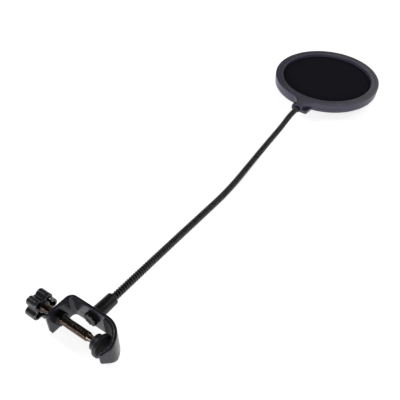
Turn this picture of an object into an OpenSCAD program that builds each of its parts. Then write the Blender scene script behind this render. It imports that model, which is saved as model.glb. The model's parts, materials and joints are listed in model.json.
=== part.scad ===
// Microphone pop filter: a round double screen on a flexible neck with a C clamp.
// The origin is on the clamp screw's axis, on the seat of the fixed jaw.
// +X runs along the screw towards the fixed jaw, +Y along the neck, +Z across the strap.

/* [Clamp strap] */
// Width of the strap the clamp is bent from
strap_w = 24; // [20:1:28]
// Thickness of the strap
strap_t = 2.8; // [2.2:0.1:3.2]
// Outer radius of the jaw's large bend
jaw_r = 24; // [23:0.5:25]
// Outer radius of the jaw's nose, in line with the screw
nose_r = 10; // [9:0.5:11]
// Angle at which the large bend runs into the nose
nose_start = 22; // [20:1:24]
// Angle at which the nose ends
nose_end = -33; // [-38:1:-28]
// Straight tip past the nose
tip_len = 6.5; // [4:0.5:7]
// Distance from the jaw seat to the outside of the screw arm
screw_arm_x = 61.2; // [58:0.2:64]
// How far the screw arm reaches past the screw's axis
screw_arm_reach = 9.2; // [8:0.2:10]
// Outer radius of the corner between the screw arm and the back
corner_r = 6.5; // [5:0.5:8]
// Slope of the tapered jaw, width lost on each side over length
jaw_taper = 0.55; // [0.4:0.01:0.7]
// Distance above the screw's axis at which the taper starts
taper_start = 3; // [0:1:8]
// Thickness of the rubber lining in the jaw
lining_t = 1.5; // [1:0.1:1.6]
// Margin between the lining and the strap's edges
lining_margin = 1.2; // [0.6:0.2:2]

/* [Screw and knob] */
// Thread diameter of the clamp screw
screw_d = 8; // [8]
// Radial clearance of a thread in its nut
thread_gap = 0.05; // [0.03:0.01:0.08]
// Clear hole for the screw in the strap
screw_hole_r = 4.4; // [4.2:0.1:4.8]
// Width of the hexagonal nut across its flats
nut_flats = 12; // [12, 13]
// Height of the hexagonal nut
nut_h = 5; // [4.5:0.5:7]
// Distance from the jaw seat to the inner end of the knob
knob_x = 75.4; // [74:0.1:80]
// Length of the knob
knob_len = 12.5; // [12:0.5:16]
// Number of lobes round the knob
knob_lobes = 5; // [5]
// Distance from the knob's axis to the centre of a lobe
lobe_at = 8.8; // [8.5:0.1:9.5]
// Radius of a lobe
lobe_r = 4.4; // [4:0.1:4.5]
// Wall of the hollow knob
knob_wall = 2; // [1.6:0.2:2.2]

/* [Pressure pad] */
// Radius of the pad
pad_r = 10.2; // [9:0.1:10.2]
// Distance from the jaw seat to the pad's rubber face
pad_gap = 6.8; // [6.8:0.2:12]
// Length of the pad's rim
pad_rim = 4; // [3.6:0.2:5]
// Radius of the hub behind the pad
hub_r = 7.3; // [6:0.1:7.4]
// Length of the hub
hub_len = 5.2; // [4.8:0.2:6]
// Radius of the ball on the screw's end
ball_r = 2.5; // [2.4:0.1:2.5]

/* [Neck base] */
// Distance from the jaw seat back to the neck's axis
neck_x = 35; // [32:1:38]
// Length of the base sleeve
sleeve_len = 22.3; // [18:0.1:26]
// Radius of the sleeve at the clamp
sleeve_r = 6.5; // [6:0.1:7]
// Radius of the sleeve at the neck
sleeve_end_r = 6.1; // [5.8:0.1:6.4]
// Thread diameter of the stud
stud_d = 6; // [6]
// Radius of the fluted thumb nut
thumb_r = 6.9; // [6:0.1:7]
// Length of the thumb nut
thumb_len = 3; // [2.5:0.5:4]
// Number of flutes round the thumb nut
flutes = 9; // [7:1:12]

/* [Neck] */
// Diameter of the flexible neck
neck_d = 7.8; // [7.4:0.1:8]
// Diameter of the neck's hollow core
neck_core_d = 4.6; // [3:0.1:5]
// Number of places where the neck bends
bends = 12; // [12]
// How far the neck's end is behind the sleeve's end along Y
neck_run = 402.7; // [380:0.1:420]
// How far the neck's end stands aside of the sleeve along X
neck_aside = -20; // [-30:1:-10]
// Length of the straight pull at each end of the S curve
neck_pull = 280; // [200:10:300]
// Direction of the neck's end, degrees to the side
neck_end_yaw = 2; // [0:1:4]

/* [Ring] */
// Outer radius of the ring
ring_r = 77.5; // [75:0.5:80]
// Radius of the opening
opening_r = 66.2; // [64:0.2:68]
// Thickness of the closed ring
ring_t = 13; // [13]
// Thickness of the front half
front_t = 7.4; // [7:0.2:7.8]
// Wall thickness of the ring halves
ring_wall = 2; // [1.6:0.2:2.2]
// Direction of the ring's middle as seen from the neck's end, degrees to the side
head_yaw = -1.6; // [-4:0.2:4]
// Rise of the ring's plane away from the neck, degrees
head_pitch = 5.5; // [0:0.5:10]
// Roll of the ring about the neck's end, degrees
head_roll = 4.5; // [0:0.5:10]

/* [Neck boss] */
// Distance from the ring's middle to the neck's end
boss_reach = 96; // [94:1:98]
// Distance from the ring's middle to the end of the front tab
tab_reach = 94; // [91:0.5:95]
// Half width of the front tab at its end
tab_half = 5.4; // [5.2:0.1:7]
// How far the front tab stands aside of the neck's axis
tab_aside = 1; // [0:0.1:1.5]
// Fillet between the front tab and the ring
tab_fillet = 18; // [14:1:18]
// Distance from the ring's middle to the end of the rear lug
lug_reach = 91; // [88:0.5:95]
// Half width of the rear lug at the ring
lug_base = 13.5; // [12:0.5:16]
// Half width of the rear lug at its end
lug_half = 12.5; // [10:0.5:14]
// How far the rear lug stands aside of the neck's axis
lug_aside = 1.5; // [0:0.1:2]
// Radius of the metal ferrule on the neck's end
ferrule_r = 5; // [4.8:0.1:5.2]

/* [Screens] */
// Thickness of a stretched nylon screen
screen_t = 0.4; // [0.3:0.1:0.6]
// Radius of a screen
screen_r = 70.5; // [69:0.5:72]
// Distance between the two screens
screen_gap = 3.2; // [2.4:0.2:4]

/* [Hidden] */
$fn = 96;

steel_black = [0.17, 0.17, 0.19];
rubber_black = [0.09, 0.09, 0.10];
plastic_grey = [0.22, 0.22, 0.25];
coil_black = [0.10, 0.10, 0.11];
nylon_black = [0.07, 0.07, 0.08];
bronze = [0.45, 0.33, 0.24];

// The jaw's two bends share a tangent at nose_start
nose_c = [-(nose_r - strap_t - lining_t), 0];
jaw_c = nose_c - (jaw_r - nose_r) * [cos(nose_start), sin(nose_start)];
back_y = jaw_c[1] + jaw_r;
inner_y = back_y - strap_t;
lining_start_x = jaw_c[0] - 2;
arm_round = 4;
corner_c = [corner_r - screw_arm_x, back_y - corner_r];
function arc(c, r, a0, a1, steps) = [
    for (i = [0:steps]) c + r * [cos(a0 + i * (a1 - a0) / steps), sin(a0 + i * (a1 - a0) / steps)]
];
function reversed(list) = [for (i = [len(list) - 1:-1:0]) list[i]];
// The hook of the jaw seen along Z, depth inside the strap's outer face: bend, nose and tip
function hook_line(depth, tip) =
    let (nose_step = (nose_end - nose_start) / 20)
    concat(
        arc(jaw_c, jaw_r - depth, 90, nose_start, 28),
        arc(nose_c, nose_r - depth, nose_start + nose_step, nose_end, 19),
        [nose_c + (nose_r - depth) * [cos(nose_end), sin(nose_end)]
         + tip * [sin(nose_end), -cos(nose_end)]]
    );
// The whole strap seen along Z: screw arm, corner and hook
function strap_line(depth) = concat(
    [[depth - screw_arm_x, -screw_arm_reach]],
    arc(corner_c, corner_r - depth, 180, 90, 20),
    hook_line(depth, tip_len)
);

// The screw: full thread, cone, neck and ball
screw_r = screw_d / 2;
ball_x = -(pad_gap + pad_rim + 1.8);
screw_neck_r = 2.2;
cone_end_x = ball_x - 5;
cone_start_x = cone_end_x - 6.5;
screw_start_x = -(knob_x + knob_len - 4);
knob_cap = 2.5;
knob_hub_r = 5.6;
knob_phase = -20;
valley_at = 11.6;
valley_step = 180 / knob_lobes;
valley_r = sqrt(pow(lobe_at, 2) + pow(valley_at, 2)
                - 2 * lobe_at * valley_at * cos(valley_step)) - lobe_r;
core_r = 9.8;

// The pad: cup, rubber and the clip that keeps the ball in
cup_front_x = -(pad_gap + 0.6);
cup_back_x = cup_front_x - pad_rim;
hub_x = cup_back_x - hub_len;
rubber_r = pad_r - 1.6;
recess_depth = 1.9;
ball_bore_r = 4.4;
clip_r = 3.5;
clip_t = 1;
clip_x = ball_x - ball_r;
lip_r = 3.2;
lip_t = 0.8;

// The neck base
sleeve_end_y = back_y + sleeve_len;
sleeve_round = 2;
stud_r = stud_d / 2;
stud_hole_r = 3.2;
stud_in = 9.5;
neck_in = 11;
washer_t = 1;
washer_r = 5.3;
thumb_cap = 0.9;
thumb_flange = 0.6;
flute_r = 1.5;

// The neck's S curve is a cubic curve from the sleeve to the ferrule
neck_r = neck_d / 2;
core_half = neck_core_d / 2;
socket_gap = 0.15;
socket_rim = 1.4;
neck_start = [-neck_x, sleeve_end_y, 0];
neck_end = neck_start + [neck_aside, neck_run, 0];
function heading(yaw, pitch) = [-sin(yaw) * cos(pitch), cos(yaw) * cos(pitch), sin(pitch)];
neck_end_dir = heading(neck_end_yaw, head_pitch);
head_dir = heading(head_yaw, head_pitch);
pull_a = neck_start + [0, neck_pull, 0];
pull_b = neck_end - neck_pull * neck_end_dir;
function curve(u) = pow(1 - u, 3) * neck_start + 3 * u * pow(1 - u, 2) * pull_a
                    + 3 * u * u * (1 - u) * pull_b + pow(u, 3) * neck_end;
// The point of the curve at a height y, found by halving
function curve_at(y, lo = 0, hi = 1, steps = 24) =
    let (mid = (lo + hi) / 2)
    steps == 0 ? curve(mid)
    : curve(mid)[1] < y ? curve_at(y, mid, hi, steps - 1) : curve_at(y, lo, mid, steps - 1);
step_y = neck_run / bends;
// Bend k is half a step from the sleeve, then one step apart, and half a step from the ferrule
function bend(k) = k == 1 ? neck_start + [0, step_y / 2, 0]
                 : k == bends ? neck_end - step_y / 2 * head_dir
                 : curve_at(neck_start[1] + (k - 0.5) * step_y);

// The ring's own frame: middle of its thickness, +z out of the front face, -y to the neck
front_z = ring_t / 2;
seam_z = front_z - front_t;
half_gap = screen_gap / 2;
screen_top = half_gap + screen_t;
ring_edge = 0.8;
face_step = 0.5;
fillet_bite = 0.4;
// Height of the middle of a fillet that stands x aside of the ring's middle
function tab_fillet_y(x) = -sqrt(pow(ring_r - fillet_bite + tab_fillet, 2) - pow(x, 2));
// The tab's outline ends where its fillets touch the ring
tab_root_half = (tab_half + tab_fillet) * ring_r / (ring_r + tab_fillet);
seat_start = -max(lug_reach, tab_reach) - 1;
lug_round = 3;
ferrule_len = 18;

module along_x(x, len, r, r2 = 0) {
    translate([x, 0, 0]) rotate([0, 90, 0]) cylinder(h = len, r1 = r, r2 = r2 == 0 ? r : r2);
}

module along_y(y, len, r, r2 = 0) {
    translate([0, y, 0]) rotate([-90, 0, 0]) cylinder(h = len, r1 = r, r2 = r2 == 0 ? r : r2);
}

// A flat outline in Y and Z, given its length along X
module extrude_x(x, len) {
    translate([x, 0, 0]) rotate([90, 0, 90]) linear_extrude(len) children();
}

// A sheet of thickness t that follows the hook of the jaw, depth inside the strap's outer face
module hook_sheet(depth, t, back_from, tip) {
    polygon(concat([[back_from, back_y - depth]], hook_line(depth, tip),
                   reversed(concat([[back_from, back_y - depth - t]], hook_line(depth + t, tip)))));
}

// What the tapered jaw loses on its +z side
module taper_cut(margin) {
    reach = 24;
    extrude_x(jaw_c[0], 30) polygon([
        [taper_start, strap_w / 2 - margin],
        [taper_start - reach, strap_w / 2 - margin - reach * jaw_taper],
        [taper_start - reach, strap_w],
        [taper_start, strap_w]
    ]);
}

module both_sides() {
    children();
    mirror([0, 0, 1]) children();
}

module clamp_body() {
    arm_tip = -screw_arm_reach;
    color(steel_black) difference() {
        translate([0, 0, -strap_w / 2]) linear_extrude(strap_w)
            polygon(concat(strap_line(0), reversed(strap_line(strap_t))));
        both_sides() taper_cut(0);
        both_sides() extrude_x(-screw_arm_x - 1, strap_t + 2) difference() {
            translate([arm_tip - 1, strap_w / 2 - arm_round]) square(arm_round + 1);
            translate([arm_tip + arm_round, strap_w / 2 - arm_round]) circle(arm_round);
        }
        along_x(-screw_arm_x - 1, strap_t + 2, screw_hole_r);
        translate([-neck_x, 0, 0]) along_y(inner_y - 1, strap_t + 2, stud_hole_r);
    }
}

module jaw_lining() {
    color(rubber_black) difference() {
        translate([0, 0, lining_margin - strap_w / 2])
            linear_extrude(strap_w - 2 * lining_margin)
                hook_sheet(strap_t, lining_t, lining_start_x, tip_len - 1);
        both_sides() taper_cut(lining_margin);
    }
}

module screw_nut() {
    color(steel_black) difference() {
        translate([-screw_arm_x + strap_t, 0, 0]) rotate([0, 90, 0])
            cylinder(h = nut_h, r = nut_flats / 2 / cos(30), $fn = 6);
        along_x(-screw_arm_x, nut_h + 2 * strap_t, screw_r + thread_gap);
    }
}

module clamp_screw() {
    color(bronze) {
        along_x(screw_start_x, cone_start_x - screw_start_x, screw_r);
        along_x(cone_start_x, cone_end_x - cone_start_x, screw_r, screw_neck_r);
        along_x(cone_end_x, ball_x - cone_end_x, screw_neck_r);
        translate([ball_x, 0, 0]) sphere(ball_r);
    }
}

// The knob's outline, drawn inwards by inset
module star(inset) {
    difference() {
        union() {
            circle(core_r - inset);
            for (i = [0:knob_lobes - 1]) rotate(knob_phase + 2 * i * valley_step)
                translate([lobe_at, 0]) circle(lobe_r - inset);
        }
        for (i = [0:knob_lobes - 1]) rotate(knob_phase + (2 * i + 1) * valley_step)
            translate([valley_at, 0]) circle(valley_r + inset);
    }
}

module clamp_knob() {
    knob_end = -(knob_x + knob_len);
    color(plastic_grey) difference() {
        extrude_x(knob_end, knob_len) star(0);
        extrude_x(knob_end + knob_cap, knob_len) difference() {
            star(knob_wall);
            circle(knob_hub_r);
        }
        along_x(-knob_x - 1, 2, knob_hub_r);
        along_x(screw_start_x, knob_len, screw_r + thread_gap);
    }
}

module pad_clip() {
    color(steel_black) difference() {
        along_x(clip_x, clip_t, clip_r);
        along_x(clip_x - 1, clip_t + 2, screw_neck_r + thread_gap);
    }
}

module pad_cup() {
    color(plastic_grey) difference() {
        union() {
            along_x(hub_x, hub_len, hub_r);
            along_x(cup_back_x, pad_rim, pad_r);
        }
        along_x(hub_x - 1, lip_t + 2, lip_r);
        along_x(hub_x + lip_t, ball_x + ball_r + 0.2 - hub_x - lip_t, ball_bore_r);
        along_x(cup_front_x - recess_depth, recess_depth + 1, rubber_r);
    }
}

module pad_rubber() {
    color(rubber_black) along_x(cup_front_x - recess_depth, recess_depth + 0.6, rubber_r);
}

module base_sleeve() {
    color(steel_black) translate([-neck_x, 0, 0]) difference() {
        union() {
            along_y(back_y, sleeve_len - sleeve_round, sleeve_r, sleeve_end_r);
            along_y(back_y, sleeve_len, sleeve_end_r - sleeve_round);
            translate([0, sleeve_end_y - sleeve_round, 0]) rotate([-90, 0, 0]) rotate_extrude()
                translate([sleeve_end_r - sleeve_round, 0]) intersection() {
                    circle(sleeve_round);
                    square(sleeve_round);
                }
        }
        along_y(back_y - 1, stud_in + 1, stud_r + thread_gap);
        along_y(sleeve_end_y - neck_in, neck_in + 1, neck_r + thread_gap);
    }
}

module base_stud() {
    stud_from = inner_y - washer_t - thumb_len + thumb_cap + 0.5;
    color(bronze) translate([-neck_x, 0, 0]) along_y(stud_from, back_y + stud_in - stud_from, stud_r);
}

module spring_washer() {
    color(steel_black) translate([-neck_x, 0, 0]) difference() {
        along_y(inner_y - washer_t, washer_t, washer_r);
        along_y(inner_y - washer_t - 1, washer_t + 2, stud_hole_r);
        translate([0, inner_y - washer_t - 1, -0.4]) cube([washer_r + 1, washer_t + 2, 0.8]);
    }
}

module thumb_nut() {
    top_y = inner_y - washer_t;
    color(plastic_grey) translate([-neck_x, 0, 0]) difference() {
        along_y(top_y - thumb_len, thumb_len, thumb_r);
        for (i = [0:flutes - 1]) rotate([0, i * 360 / flutes, 0])
            translate([thumb_r + flute_r / 3, 0, 0])
                along_y(top_y - thumb_len - 1, thumb_len + 1 - thumb_flange, flute_r);
        along_y(top_y - thumb_len + thumb_cap, thumb_len, stud_r + thread_gap);
    }
}

// One stiff length of the neck from point a to point b: a socket at a, a ball at b
module neck_link(a, b, socket = true, ball = true) {
    d = b - a;
    len = norm(d);
    color(coil_black) translate(a) rotate([0, acos(d[2] / len), atan2(d[1], d[0])]) difference() {
        union() {
            translate([0, 0, socket ? socket_rim : 0])
                cylinder(h = len - (socket ? socket_rim : 0), r = neck_r);
            if (ball) translate([0, 0, len]) sphere(neck_r);
        }
        if (socket) sphere(neck_r + socket_gap);
        translate([0, 0, -1]) cylinder(h = len + neck_r + 2, r = core_half);
    }
}

module in_head() {
    translate(neck_end) rotate([0, 0, head_yaw]) rotate([head_pitch, 0, 0]) rotate([0, head_roll, 0])
        translate([0, boss_reach, 0]) children();
}

module neck_ferrule() {
    color(steel_black) in_head() difference() {
        along_y(-boss_reach, ferrule_len, ferrule_r);
        along_y(-boss_reach - 1, ferrule_len - 1, neck_r + thread_gap);
    }
}

module ferrule_seat() {
    along_y(seat_start, ferrule_len - boss_reach - seat_start, ferrule_r + thread_gap);
}

module front_ring() {
    lip = opening_r + ring_wall;
    rim = ring_r - ring_wall;
    color(plastic_grey) in_head() {
        difference() {
            union() {
                rotate_extrude() polygon([
                    [opening_r, screen_top], [opening_r, front_z - ring_edge],
                    [opening_r + ring_edge, front_z], [opening_r + 4, front_z],
                    [opening_r + 4 + face_step, front_z - face_step],
                    [ring_r - 4.5, front_z - face_step], [ring_r - 4, front_z],
                    [ring_r - ring_edge, front_z], [ring_r, front_z - ring_edge],
                    [ring_r, seam_z], [rim, seam_z], [rim, front_z - 2.4],
                    [lip, front_z - 2.4], [lip, screen_top]
                ]);
                translate([0, 0, seam_z]) linear_extrude(front_t - face_step) difference() {
                    translate([tab_aside - tab_root_half, -tab_reach])
                        square([2 * tab_root_half, tab_reach - ring_r * 0.93]);
                    circle(ring_r - ring_wall / 2);
                    for (side = [-1, 1]) {
                        fillet_x = tab_aside + side * (tab_half + tab_fillet);
                        translate([fillet_x, tab_fillet_y(fillet_x)]) circle(tab_fillet);
                    }
                }
            }
            ferrule_seat();
        }
    }
}

module rear_ring() {
    lip = opening_r + ring_wall;
    rim = ring_r - ring_wall;
    color(plastic_grey) in_head() {
        difference() {
            union() {
                rotate_extrude() polygon([
                    [opening_r, -screen_top], [opening_r, ring_edge - front_z],
                    [opening_r + ring_edge, -front_z], [ring_r - 1.5, -front_z],
                    [ring_r - 0.3, 1.2 - front_z], [ring_r - 0.3, seam_z], [rim, seam_z],
                    [rim, 2 - front_z], [lip, 2 - front_z], [lip, -screen_top]
                ]);
                translate([0, 0, -front_z]) linear_extrude(seam_z + front_z) difference() {
                    translate([lug_aside, 0]) {
                        polygon([
                            [-lug_base, -ring_r * 0.95], [lug_base, -ring_r * 0.95],
                            [lug_half, lug_round - lug_reach], [-lug_half, lug_round - lug_reach]
                        ]);
                        translate([lug_round - lug_half, -lug_reach])
                            square([2 * (lug_half - lug_round), lug_round + 1]);
                        for (side = [-1, 1])
                            translate([side * (lug_half - lug_round), lug_round - lug_reach])
                                circle(lug_round);
                    }
                    circle(ring_r - ring_wall / 2);
                }
            }
            ferrule_seat();
        }
    }
}

module flat_disc(z, t, r, hole) {
    translate([0, 0, z]) linear_extrude(t) difference() {
        circle(r);
        if (hole > 0) circle(hole);
    }
}

module spacer_ring() {
    color(plastic_grey) in_head() flat_disc(-half_gap, screen_gap, ring_r - ring_wall - 0.4, opening_r + 0.3);
}

module front_screen() {
    color(nylon_black) in_head() flat_disc(half_gap, screen_t, screen_r, 0);
}

module rear_screen() {
    color(nylon_black) in_head() flat_disc(-screen_top, screen_t, screen_r, 0);
}

clamp_body();
jaw_lining();
screw_nut();
clamp_screw();
clamp_knob();
pad_clip();
pad_cup();
pad_rubber();
base_sleeve();
base_stud();
spring_washer();
thumb_nut();
neck_link([-neck_x, sleeve_end_y - neck_in, 0], bend(1), socket = false);  // neck_link_00
neck_link(bend(1), bend(2));  // neck_link_01
neck_link(bend(2), bend(3));  // neck_link_02
neck_link(bend(3), bend(4));  // neck_link_03
neck_link(bend(4), bend(5));  // neck_link_04
neck_link(bend(5), bend(6));  // neck_link_05
neck_link(bend(6), bend(7));  // neck_link_06
neck_link(bend(7), bend(8));  // neck_link_07
neck_link(bend(8), bend(9));  // neck_link_08
neck_link(bend(9), bend(10));  // neck_link_09
neck_link(bend(10), bend(11));  // neck_link_10
neck_link(bend(11), bend(12));  // neck_link_11
neck_link(bend(12), neck_end + (ferrule_len - 2.5) * head_dir, ball = false);  // neck_link_12
neck_ferrule();
front_ring();
rear_ring();
spacer_ring();
front_screen();
rear_screen();
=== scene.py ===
import json
import math

import bmesh
import bpy
import numpy as np
from mathutils import Matrix, Vector


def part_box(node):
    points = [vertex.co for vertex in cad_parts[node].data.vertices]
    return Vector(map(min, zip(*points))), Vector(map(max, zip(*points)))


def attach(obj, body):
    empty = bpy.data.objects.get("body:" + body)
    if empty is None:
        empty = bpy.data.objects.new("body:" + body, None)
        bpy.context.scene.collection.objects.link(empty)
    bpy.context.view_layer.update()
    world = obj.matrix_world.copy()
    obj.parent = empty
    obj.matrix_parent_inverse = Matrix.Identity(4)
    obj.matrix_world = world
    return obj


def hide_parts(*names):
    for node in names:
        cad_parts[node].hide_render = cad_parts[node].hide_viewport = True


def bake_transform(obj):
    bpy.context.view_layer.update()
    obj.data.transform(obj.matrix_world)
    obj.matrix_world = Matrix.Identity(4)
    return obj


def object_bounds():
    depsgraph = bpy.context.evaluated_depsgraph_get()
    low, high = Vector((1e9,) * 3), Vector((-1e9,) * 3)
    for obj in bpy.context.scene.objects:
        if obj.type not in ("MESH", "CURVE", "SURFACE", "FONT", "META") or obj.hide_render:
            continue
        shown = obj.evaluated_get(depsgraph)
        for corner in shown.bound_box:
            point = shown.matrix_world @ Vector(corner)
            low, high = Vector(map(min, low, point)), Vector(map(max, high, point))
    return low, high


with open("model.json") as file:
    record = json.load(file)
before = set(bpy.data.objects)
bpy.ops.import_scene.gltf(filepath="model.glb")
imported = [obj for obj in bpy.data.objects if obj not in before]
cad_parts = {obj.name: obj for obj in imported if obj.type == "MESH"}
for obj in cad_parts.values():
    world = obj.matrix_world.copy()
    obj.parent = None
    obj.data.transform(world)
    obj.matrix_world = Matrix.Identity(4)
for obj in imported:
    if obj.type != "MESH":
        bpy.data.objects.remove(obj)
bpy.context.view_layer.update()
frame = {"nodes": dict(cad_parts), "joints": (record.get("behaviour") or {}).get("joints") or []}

MM = 0.001

# The camera stands where the photograph's did; the target is a point beside the neck
CAMERA_AZIMUTH = 34.8
CAMERA_ELEVATION = 39.0
CAMERA_DISTANCE = 0.56
CAMERA_TARGET = Vector((-0.0655, 0.218, -0.0214))
CAMERA_LENS = 43.2


# ---- places taken from the frame

JOINTS = {j["name"]: j for j in frame["joints"]}


def joint_at(name):
    return np.array(JOINTS[name]["pos_m"], float)


def node_middle(name):
    low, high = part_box(name)
    return (np.array(low) + np.array(high)) / 2


def unit(v):
    return np.array(v, float) / np.linalg.norm(v)


def frame_of(origin, z_axis, x_hint):
    """A 4x4 matrix with its z along z_axis, its x as near x_hint as it can be, and its place at origin."""
    z = unit(z_axis)
    x = unit(np.array(x_hint, float) - np.dot(x_hint, z) * z)
    m = np.eye(4)
    m[:3, 0], m[:3, 1], m[:3, 2], m[:3, 3] = x, np.cross(z, x), z, origin
    return m


# The head's own frame: z out of the front face, -y towards the neck
ring_middle = (node_middle("front_screen") + node_middle("rear_screen")) / 2
ring_normal = unit(node_middle("front_screen") - node_middle("rear_screen"))
neck_to_ring = unit(ring_middle - node_middle("neck_ferrule"))
HEAD = frame_of(ring_middle, ring_normal, np.cross(neck_to_ring, ring_normal))

# Along the clamp screw: z runs back from the jaw's seat to the knob, and x points to the neck
SCREW = frame_of(joint_at("screw_turn"), (-1, 0, 0), (0, 1, 0))

# Along the neck's root: z runs up the neck from the inside face of the strap
ROOT = frame_of(joint_at("thumb_turn"), (0, 1, 0), (1, 0, 0))


# ---- mesh tools

def add_object(name, data):
    obj = bpy.data.objects.new(name, data)
    bpy.context.collection.objects.link(obj)
    return obj


def store_values(obj, name, values):
    attribute = obj.data.attributes.new(name, "FLOAT", "POINT")
    attribute.data.foreach_set("value", np.array(values, np.float32).ravel())


def mesh_object(name, points, faces, matrix=None, groove=None, sharp_deg=40):
    """A smooth-shaded mesh object; matrix takes its points to the shared frame."""
    points = np.array(points, float).reshape(-1, 3)
    if matrix is not None:
        points = points @ matrix[:3, :3].T + matrix[:3, 3]
    mesh = bpy.data.meshes.new(name)
    mesh.from_pydata(points.tolist(), [], faces)
    obj = add_object(name, mesh)
    if groove is not None:
        store_values(obj, "groove", groove)
    tidy(obj, sharp_deg)
    return obj


def tidy(obj, sharp_deg=40):
    """Merges doubled points, turns every face outwards and shades the mesh smooth."""
    bm = bmesh.new()
    bm.from_mesh(obj.data)
    bmesh.ops.remove_doubles(bm, verts=bm.verts, dist=0.002 * MM)
    bmesh.ops.dissolve_degenerate(bm, edges=bm.edges, dist=0.001 * MM)
    bmesh.ops.recalc_face_normals(bm, faces=bm.faces)
    bm.to_mesh(obj.data)
    bm.free()
    obj.data.shade_smooth()
    obj.data.set_sharp_from_angle(angle=math.radians(sharp_deg))


def full_turn(count):
    return np.linspace(0, 2 * math.pi, count, endpoint=False)


def around(rows):
    """Points in metres round the z axis, from rows of (radius, height, angle) in mm and radians."""
    return [[(r * math.cos(a) * MM, r * math.sin(a) * MM, z * MM) for r, z, a in row] for row in rows]


def join_rows(rows, closed_columns=False):
    """Points and faces of a surface through rows of equally many points, each row a closed ring.

    closed_columns joins the last row to the first. Without it both get one face as a cap.
    """
    rows = np.array(rows, float)
    count, width = rows.shape[:2]
    faces = []
    for i in range(count if closed_columns else count - 1):
        k = (i + 1) % count
        for j in range(width):
            n = (j + 1) % width
            faces.append((i * width + j, i * width + n, k * width + n, k * width + j))
    if not closed_columns:
        faces.append(tuple(range(width))[::-1])
        faces.append(tuple((count - 1) * width + j for j in range(width)))
    return rows.reshape(-1, 3), faces


def arc(cx, cy, r, start_deg, end_deg, steps):
    angles = np.radians(np.linspace(start_deg, end_deg, steps + 1))
    return [(cx + r * math.cos(a), cy + r * math.sin(a)) for a in angles]


def rounded(points, radii, steps=4):
    """An open line through the points, with each inner corner rounded to its radius."""
    line = [points[0]]
    for before, corner, after, radius in zip(points, points[1:], points[2:], radii):
        corner = np.array(corner, float)
        a, b = np.array(before, float) - corner, np.array(after, float) - corner
        reach_a, reach_b = np.linalg.norm(a), np.linalg.norm(b)
        a, b = a / reach_a, b / reach_b
        half = math.acos(max(-1.0, min(1.0, float(a @ b)))) / 2
        if radius <= 0 or half > math.radians(88):
            line.append(tuple(corner))
            continue
        cut = min(radius / math.tan(half), 0.49 * reach_a, 0.49 * reach_b)
        middle = corner + unit(a + b) * cut / math.cos(half)
        start, end = corner + a * cut - middle, corner + b * cut - middle
        sweep = math.atan2(start[0] * end[1] - start[1] * end[0], start @ end)
        for k in range(steps + 1):
            c, s = math.cos(sweep * k / steps), math.sin(sweep * k / steps)
            line.append(tuple(middle + (c * start[0] - s * start[1], s * start[0] + c * start[1])))
    line.append(points[-1])
    return line


def lathe(name, profile, matrix, columns=64, closed=False):
    """A turned solid. The profile's points are (distance along the axis, radius) in mm."""
    angles = full_turn(columns)
    rows = [[(r, z, a) for a in angles] for z, r in profile]
    points, faces = join_rows(around(rows), closed_columns=closed)
    return mesh_object(name, points, faces, matrix)


def boolean(obj, cutter, operation="DIFFERENCE"):
    """Applies a boolean to obj and removes the cutter."""
    modifier = obj.modifiers.new("cut", "BOOLEAN")
    modifier.object = cutter
    modifier.operation = operation
    modifier.solver = "EXACT"
    bpy.context.view_layer.update()
    evaluated = obj.evaluated_get(bpy.context.evaluated_depsgraph_get())
    mesh = bpy.data.meshes.new_from_object(evaluated)
    obj.modifiers.clear()
    old, obj.data = obj.data, mesh
    mesh.name = obj.name
    bpy.data.meshes.remove(old)
    bpy.data.objects.remove(cutter)
    tidy(obj)
    return obj


def store_vector(obj, name, values):
    attribute = obj.data.attributes.new(name, "FLOAT_VECTOR", "POINT")
    attribute.data.foreach_set("vector", np.array(values, np.float32).ravel())


def points_of(obj):
    flat = np.zeros(3 * len(obj.data.vertices))
    obj.data.vertices.foreach_get("co", flat)
    return flat.reshape(-1, 3)


def store_rest(obj, matrix=None):
    """Keeps each point's rest place on the mesh, so that a pattern stays put when a piece bends."""
    points = points_of(obj)
    if matrix is not None:
        points = (points - matrix[:3, 3]) @ matrix[:3, :3]
    store_vector(obj, "rest", points)


def store_edges(obj, radius_mm=0.8):
    """Marks convex edges, from 0 on a flat face to 1 where the surface bends tighter than the radius."""
    bm = bmesh.new()
    bm.from_mesh(obj.data)
    bm.normal_update()
    worn = np.zeros(len(bm.verts), np.float32)
    for v in bm.verts:
        bend = 0.0
        for e in v.link_edges:
            if len(e.link_faces) == 2:
                a, b = e.link_faces
                apart = (a.calc_center_median() - b.calc_center_median()).length
                bend = max(bend, e.calc_face_angle_signed(0.0) / max(apart, 0.05 * MM))
        worn[v.index] = min(1.0, max(0.0, bend * radius_mm * MM))
    bm.free()
    store_values(obj, "edge", worn)


# ---- materials

def new_material(name, roughness, metallic=0.0, specular=0.5, sheen=0.0):
    """A material with its node tree and its Principled shader."""
    mat = bpy.data.materials.new(name)
    mat.use_nodes = True
    tree = mat.node_tree
    shader = tree.nodes["Principled BSDF"]
    shader.inputs["Roughness"].default_value = roughness
    shader.inputs["Metallic"].default_value = metallic
    shader.inputs["Specular IOR Level"].default_value = specular
    shader.inputs["Sheen Weight"].default_value = sheen
    return mat, tree, shader


def stored(tree, name):
    """The node that reads an attribute kept on the mesh."""
    node = tree.nodes.new("ShaderNodeAttribute")
    node.attribute_name = name
    return node


def rest_place(tree):
    return stored(tree, "rest").outputs["Vector"]


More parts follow.
